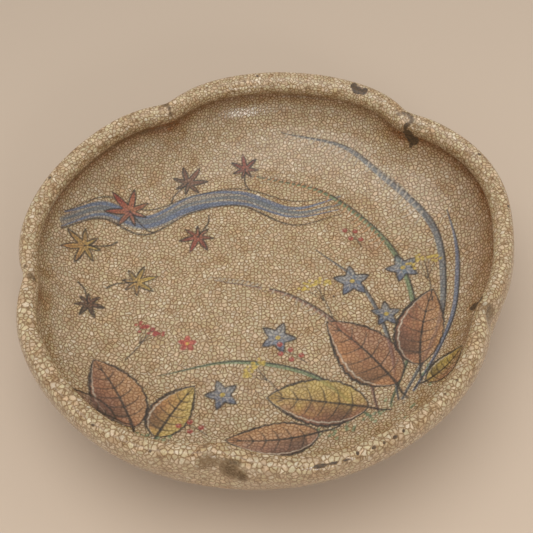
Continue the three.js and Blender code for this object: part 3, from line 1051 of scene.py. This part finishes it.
# Painted light on the table: how its lightness changes for each metre away and to the right, and its limits
TABLE_FADE_AWAY, TABLE_FADE_ACROSS = -0.42, 0.22
TABLE_FADE_LOW, TABLE_FADE_HIGH = 0.8, 1.08


def crackle(place, flat=True):
    """The crackle's nodes: how far into its cell a point lies, the cell's own random colour, and how
    far the point lies from the finer cracks. The cells are flat, or solid and cut by the surface."""
    for scale, amount in ((0.35, 1.6), (1.7, 0.28)):
        inputs = {0: noise(place, scale, 1.0, output=1), 1: (0.5, 0.5, 0.5)}
        drift = add_node("VectorMath", inputs, operation="SUBTRACT")[0]
        inputs = {0: drift, 1: (amount, amount, 0 if flat else amount), 2: place}
        place = add_node("VectorMath", inputs, operation="MULTIPLY_ADD")[0]
    dimensions = "2D" if flat else "3D"
    settings = {"voronoi_dimensions": dimensions, "feature": "DISTANCE_TO_EDGE"}
    inputs = {"Vector": place, "Scale": 1 / CELL, "Randomness": 0.95}
    edge = add_node("TexVoronoi", inputs, **settings)["Distance"]
    cell = add_node("TexVoronoi", inputs, voronoi_dimensions=dimensions)["Color"]
    inputs = {"Vector": place, "Scale": 1 / FINE_CELL, "Randomness": 1.0}
    return edge, cell, add_node("TexVoronoi", inputs, **settings)["Distance"]


def two_crackles(place):
    """The flat crackle inside, and on the rim and the outside the solid one, whose cells keep their
    size where the flat map can't."""
    edge, cell, fine = crackle(place)
    solid = object_place(place.id_data)
    away = add_node("SeparateXYZ", {"Vector": solid})[1]
    scale = 1 / (MM * OUTSIDE_GROWTH)
    scale = plus(times(away, FINER_AWAY * scale), scale)
    solid = add_node("VectorMath", {"Vector": solid, "Scale": scale}, operation="SCALE")[0]
    solid_edge, solid_cell, solid_fine = crackle(solid, flat=False)
    across = add_node("SeparateXYZ", {"Vector": place})[0]
    outside = sums("GREATER_THAN", across, OUTSIDE_MAP_SHIFT / 2)
    edge = blended(outside, edge, times(solid_edge, OUTSIDE_SHARPNESS))
    fine = blended(outside, fine, times(solid_fine, OUTSIDE_SHARPNESS))
    return edge, mixed(outside, cell, solid_cell), fine


def glaze_material(painted):
    """Crackled glaze. With painted, enamel colours from the mesh's own values lie over it."""
    material, tree, shader = new_material("painted_glaze" if painted else "crackled_glaze")
    place = add_node("UVMap", {}, tree, uv_map="crackle_mm")[0]
    edge, cell, fine = crackle(place) if painted else two_crackles(place)
    random = add_node("SeparateColor", {"Color": cell})
    patch = noise(place, 0.06, 3.0)
    small_patch = noise(place, 0.22)
    speckle = noise(place, 0.75)

    # Cells, paler towards their middles, that differ in tint and lightness
    tint = plus(times(random[1], 0.28), times(small_patch, 0.72))
    pale = mixed(eased(tint, 0.36, 0.62), PINK_GLAZE, GREEN_GLAZE)
    pale = mixed(0.5, pale, PALE_GLAZE)
    pale = mixed(eased(random[0], 0.66, 1, 0.0, 0.55), pale, WHITE_GLAZE)
    light = eased(random[2], 0, 1, 0.84, 1.06)
    for soft in (patch, small_patch):
        light = plus(light, eased(soft, 0.3, 0.7, -0.06, 0.06))
    tone = grey_of(light)
    pale = multiplied(pale, tone)
    inside = eased(plus(edge, times(speckle, 0.1)), 0.06, 0.4)
    color = mixed(inside, CELL_EDGE, pale)

    # Cracks: dark in places, faint in others, with finer ones between
    reach = noise(place, 0.4, 3.0)
    strength = eased(reach, 0.36, 0.62, 0.22, 1.0)
    core = times(eased(edge, 0.015, 0.13, 1.0, 0.0), strength)
    fineness = eased(reach, 0.4, 0.6, 0.4, 0.1)
    if not painted:
        hazy_and_shaded = attribute(tree, "hazy_and_shaded")
        fineness = sums("MAXIMUM", fineness, times(hazy_and_shaded, 0.5))
    fine_line = times(eased(fine, 0.02, 0.13, 1.0, 0.0), fineness)
    color = mixed(fine_line, color, CRACK)
    color = mixed(times(core, 0.66), color, CRACK)
    worn = eased(noise(place, 0.1, 4.0), 0.44, 0.7, 0.0, 0.6)
    color = mixed(worn, color, multiplied(color, WORN_GLAZE))

    if painted:
        paint, cover = attribute(tree, "paint", "Color"), attribute(tree, "cover")
        shade = plus(eased(inside, 0, 1, 0.84, 1.08), times(core, -0.2))
        paint = multiplied(paint, grey_of(shade))
        paint = mixed(0.6, paint, multiplied(paint, tone))
        color = mixed(times(cover, 0.95), color, paint)
        rough = eased(cover, 0.2, 0.8, 0.15, 0.3)
    else:
        # The outer wall is mixed towards a greyer, darker colour, partly painted shade
        color = mixed(times(hazy_and_shaded, 0.26), color, HAZE_AND_SHADE)
        # Brown staining multiplied in, partly painted shade in the fold under the rim, on the right wall
        # and below the notches
        stain_and_shade = times(attribute(tree, "stain_and_shade"), eased(small_patch, 0.3, 0.7, 0.65, 1.2))
        color = mixed(stain_and_shade, color, multiplied(color, STAINED_AND_SHADED))
        # Thick glaze, partly painted shade in the hollows and the fold, and iron lie in ragged patches
        ragged = sums("SUBTRACT", noise(place, 0.8, 3.0), 0.5)
        ragged = plus(1.0, times(ragged, 1.3))
        pool_and_shade = times(attribute(tree, "pool_and_shade"), ragged)
        color = mixed(eased(pool_and_shade, 0.25, 0.7, 0.0, 0.72), color, THICK_GLAZE_AND_SHADE)
        color = mixed(eased(pool_and_shade, 0.7, 1.05, 0.0, 0.85), color, THICK_EDGE_AND_SHADE)
        iron = times(attribute(tree, "iron"), ragged)
        color = mixed(eased(iron, 0.3, 0.55, 0.0, 0.7), color, IRON_EDGE)
        brown = mixed(eased(speckle, 0.42, 0.62, 0.0, 0.6), IRON_BROWN, IRON_EDGE)
        color = mixed(eased(iron, 0.45, 0.75, 0.0, 0.95), color, brown)
        rough = eased(iron, 0.35, 0.6, 0.15, 0.4)

    dome = eased(edge, 0.0, 0.32)
    waves = times(noise(place, 0.3), 1.4)
    height = plus(plus(dome, waves), times(random[2], 0.35))
    normal = bump(0.7, 0.05, height)
    fill(shader, {"Base Color": color, "Roughness": rough, "IOR": 1.5, "Normal": normal})
    return material


def clay_material():
    """Bare fired clay: warm brown with darker grains and iron specks, dull and slightly rough."""
    material, tree, shader = new_material("fired_clay")
    place = object_place(tree)
    grains = noise(place, 1400.0)
    color = mixed(eased(noise(place, 60.0, 4.0), 0.3, 0.7), CLAY, DARK_CLAY)
    color = mixed(eased(grains, 0.62, 0.72, 0.0, 0.7), color, UMBER)
    rough = eased(grains, 0.3, 0.7, 0.78, 0.92)
    normal = bump(0.6, 0.08, grains)
    fill(shader, {"Base Color": color, "Roughness": rough, "Normal": normal})
    return material


def table_material():
    """A pale sheet of matt paper under the dish, its colour painted darker away and to the left as painted
    light falling off across it.
    """
    material, tree, shader = new_material("pale_table")
    place = object_place(tree)
    across, away, _ = add_node("SeparateXYZ", {"Vector": place})
    painted_light_fade = plus(times(away, TABLE_FADE_AWAY), times(across, TABLE_FADE_ACROSS))
    painted_light_fade = sums("MAXIMUM", plus(painted_light_fade, 1.0), TABLE_FADE_LOW)
    painted_light_fade = sums("MINIMUM", painted_light_fade, TABLE_FADE_HIGH)
    painted_light_fade = plus(painted_light_fade, times(noise(place, 4.0), 0.03))
    fill(shader, {"Base Color": multiplied(TABLE, grey_of(painted_light_fade)), "Roughness": 0.85})
    return material


body = make_body()
body.data.materials.append(glaze_material(False))
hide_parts("dish_body")
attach(body, "root")

painting = make_painting()
painting.data.materials.append(glaze_material(True))
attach(painting, "root")

foot = make_foot()
foot.data.materials.append(clay_material())
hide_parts("foot_ring")
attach(foot, "root")

# The camera, fitted to the photo's outline of the dish: it looks along +Y and down
ELEVATION = math.radians(54.04)
ROLL = math.radians(0.44)
CAMERA_DISTANCE = 453.0
TARGET = (0.28, 0.94, 30.0)
FOCAL_PIXELS = 916.4
IMAGE_PIXELS = 533
SENSOR = 36.0


def make_camera():
    forward = Vector((0, math.cos(ELEVATION), -math.sin(ELEVATION)))
    level = Vector((1, 0, 0))
    upright = level.cross(forward)
    right = math.cos(ROLL) * level + math.sin(ROLL) * upright
    up = math.cos(ROLL) * upright - math.sin(ROLL) * level
    target = Vector((TARGET[0] + AXIS_X, TARGET[1] + AXIS_Y, TARGET[2]))
    eye = (target - forward * CAMERA_DISTANCE) * MM
    data = bpy.data.cameras.new("camera")
    data.sensor_width = SENSOR
    data.lens = FOCAL_PIXELS / IMAGE_PIXELS * SENSOR
    data.clip_start = 0.01
    camera = new_object("camera", data)
    camera.matrix_world = Matrix.Translation(eye) @ Matrix((right, up, -forward)).transposed().to_4x4()
    bpy.context.scene.camera = camera


LIGHTS_AIM = Vector((0, 0, 0.03))


def area_light(name, location, size, power):
    data = bpy.data.lights.new(name, "AREA")
    data.shape = "DISK"
    data.size = size
    data.energy = power
    light = new_object(name, data)
    light.location = location
    light.rotation_euler = (LIGHTS_AIM - light.location).to_track_quat("-Z", "Y").to_euler()


def make_studio():
    bpy.ops.mesh.primitive_plane_add(size=6, location=(0, 0, 0))
    table = bpy.context.object
    table.name = "table_top"
    table.data.materials.append(table_material())
    area_light("softbox", (-0.23, 0.05, 1.3), 1.2, 5.8)
    area_light("front_card", (0.44, -1.22, 0.75), 0.3, 2.4)
    world = bpy.data.worlds.new("studio")
    world.use_nodes = True
    background = world.node_tree.nodes["Background"]
    background.inputs["Color"].default_value = (1, 0.97, 0.93, 1)
    background.inputs["Strength"].default_value = 0.74
    bpy.context.scene.world = world
    bpy.context.scene.view_settings.view_transform = "Standard"


make_camera()
make_studio()
